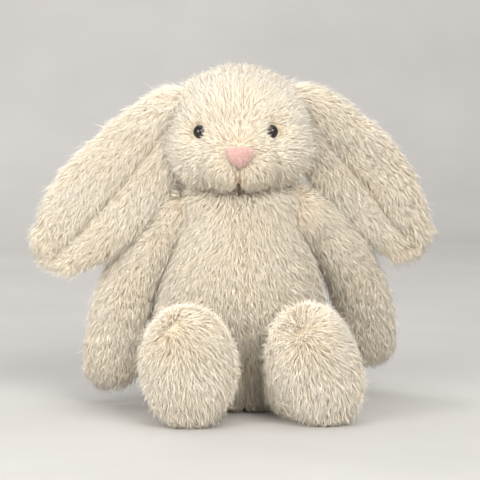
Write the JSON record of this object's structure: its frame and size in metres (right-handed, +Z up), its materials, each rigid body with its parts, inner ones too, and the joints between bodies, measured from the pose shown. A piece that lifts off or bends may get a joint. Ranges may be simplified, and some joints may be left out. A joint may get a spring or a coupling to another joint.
{
  "type": "stuffed bunny rabbit",
  "caption": "Sitting plush rabbit with long hanging ears, soft arms and legs, domed eyes and a small triangular nose.",
  "frame": {"origin": "under the middle of the toy's overall box, on the surface it sits on", "axes": "+Z up, the face looks along -Y, +X towards the toy's own left"},
  "size_m": [0.2448, 0.1728, 0.2016],
  "materials": {
    "fur": "matte",
    "tail_fur": "matte",
    "stuffing": "matte",
    "pouch": "matte",
    "pellets": "matte",
    "thread": "matte",
    "eye": "gloss",
    "washer": "satin",
    "nose": "matte"
  },
  "bodies": {
    "torso": {"body_front_left": "fur", "body_front_right": "fur", "body_back_left": "fur", "body_back_right": "fur", "body_stuffing": "stuffing", "pellet_bag": "pouch", "pellet_fill": "pellets", "back_closing_stitches": "thread", "tail_cover": "tail_fur", "tail_stuffing": "stuffing"},
    "neck": {"neck_stuffing": "stuffing"},
    "head": {"face_left": "fur", "face_right": "fur", "head_back_left": "fur", "head_back_right": "fur", "head_stuffing": "stuffing", "eye_left": "eye", "eye_right": "eye", "eye_washer_left": "washer", "eye_washer_right": "washer", "nose": "nose", "neck_gathering_thread": "thread"},
    "ear_left": {"ear_left_lining": "fur", "ear_left_outer": "fur"},
    "arm_left": {"arm_left_front": "fur", "arm_left_back": "fur", "arm_left_stuffing": "stuffing"},
    "leg_left": {"leg_left_outer": "fur", "leg_left_inner": "fur", "leg_left_sole": "fur", "leg_left_stuffing": "stuffing"},
    "ear_right": {"ear_right_lining": "fur", "ear_right_outer": "fur"},
    "arm_right": {"arm_right_front": "fur", "arm_right_back": "fur", "arm_right_stuffing": "stuffing"},
    "leg_right": {"leg_right_outer": "fur", "leg_right_inner": "fur", "leg_right_sole": "fur", "leg_right_stuffing": "stuffing"}
  },
  "joints": [
    {"name": "neck_turn", "type": "hinge", "parent": "torso", "child": "neck", "pos_m": [0.00094, 0.00989, 0.1375], "axis": [0, 0, 1], "range_deg": [-35, 35], "stiffness_Nm_per_rad": 0.25},
    {"name": "neck_nod", "type": "hinge", "parent": "neck", "child": "head", "pos_m": [0.00094, 0.00989, 0.1375], "axis": [0.9976, -0.0698, 0], "range_deg": [-12, 12], "stiffness_Nm_per_rad": 0.6},
    {"name": "ear_left_lift", "type": "hinge", "parent": "head", "child": "ear_left", "pos_m": [0.04663, 0.0067, 0.1745], "axis": [-0.0174, -0.9998, 0], "range_deg": [0, 110]},
    {"name": "ear_right_lift", "type": "hinge", "parent": "head", "child": "ear_right", "pos_m": [-0.04475, 0.01309, 0.1745], "axis": [-0.0349, 0.9994, 0], "range_deg": [0, 110]},
    {"name": "arm_left_swing", "type": "hinge", "parent": "torso", "child": "arm_left", "pos_m": [0.03994, 0.00789, 0.114], "axis": [-1, 0, 0], "range_deg": [-30, 90]},
    {"name": "arm_right_swing", "type": "hinge", "parent": "torso", "child": "arm_right", "pos_m": [-0.03806, 0.00789, 0.114], "axis": [-1, 0, 0], "range_deg": [-30, 90]},
    {"name": "leg_left_swing", "type": "hinge", "parent": "torso", "child": "leg_left", "pos_m": [0.02994, -0.02611, 0.0188], "axis": [-1, 0, 0], "range_deg": [-75, 25]},
    {"name": "leg_right_swing", "type": "hinge", "parent": "torso", "child": "leg_right", "pos_m": [-0.02806, -0.02611, 0.0188], "axis": [-1, 0, 0], "range_deg": [-75, 25]}
  ]
}
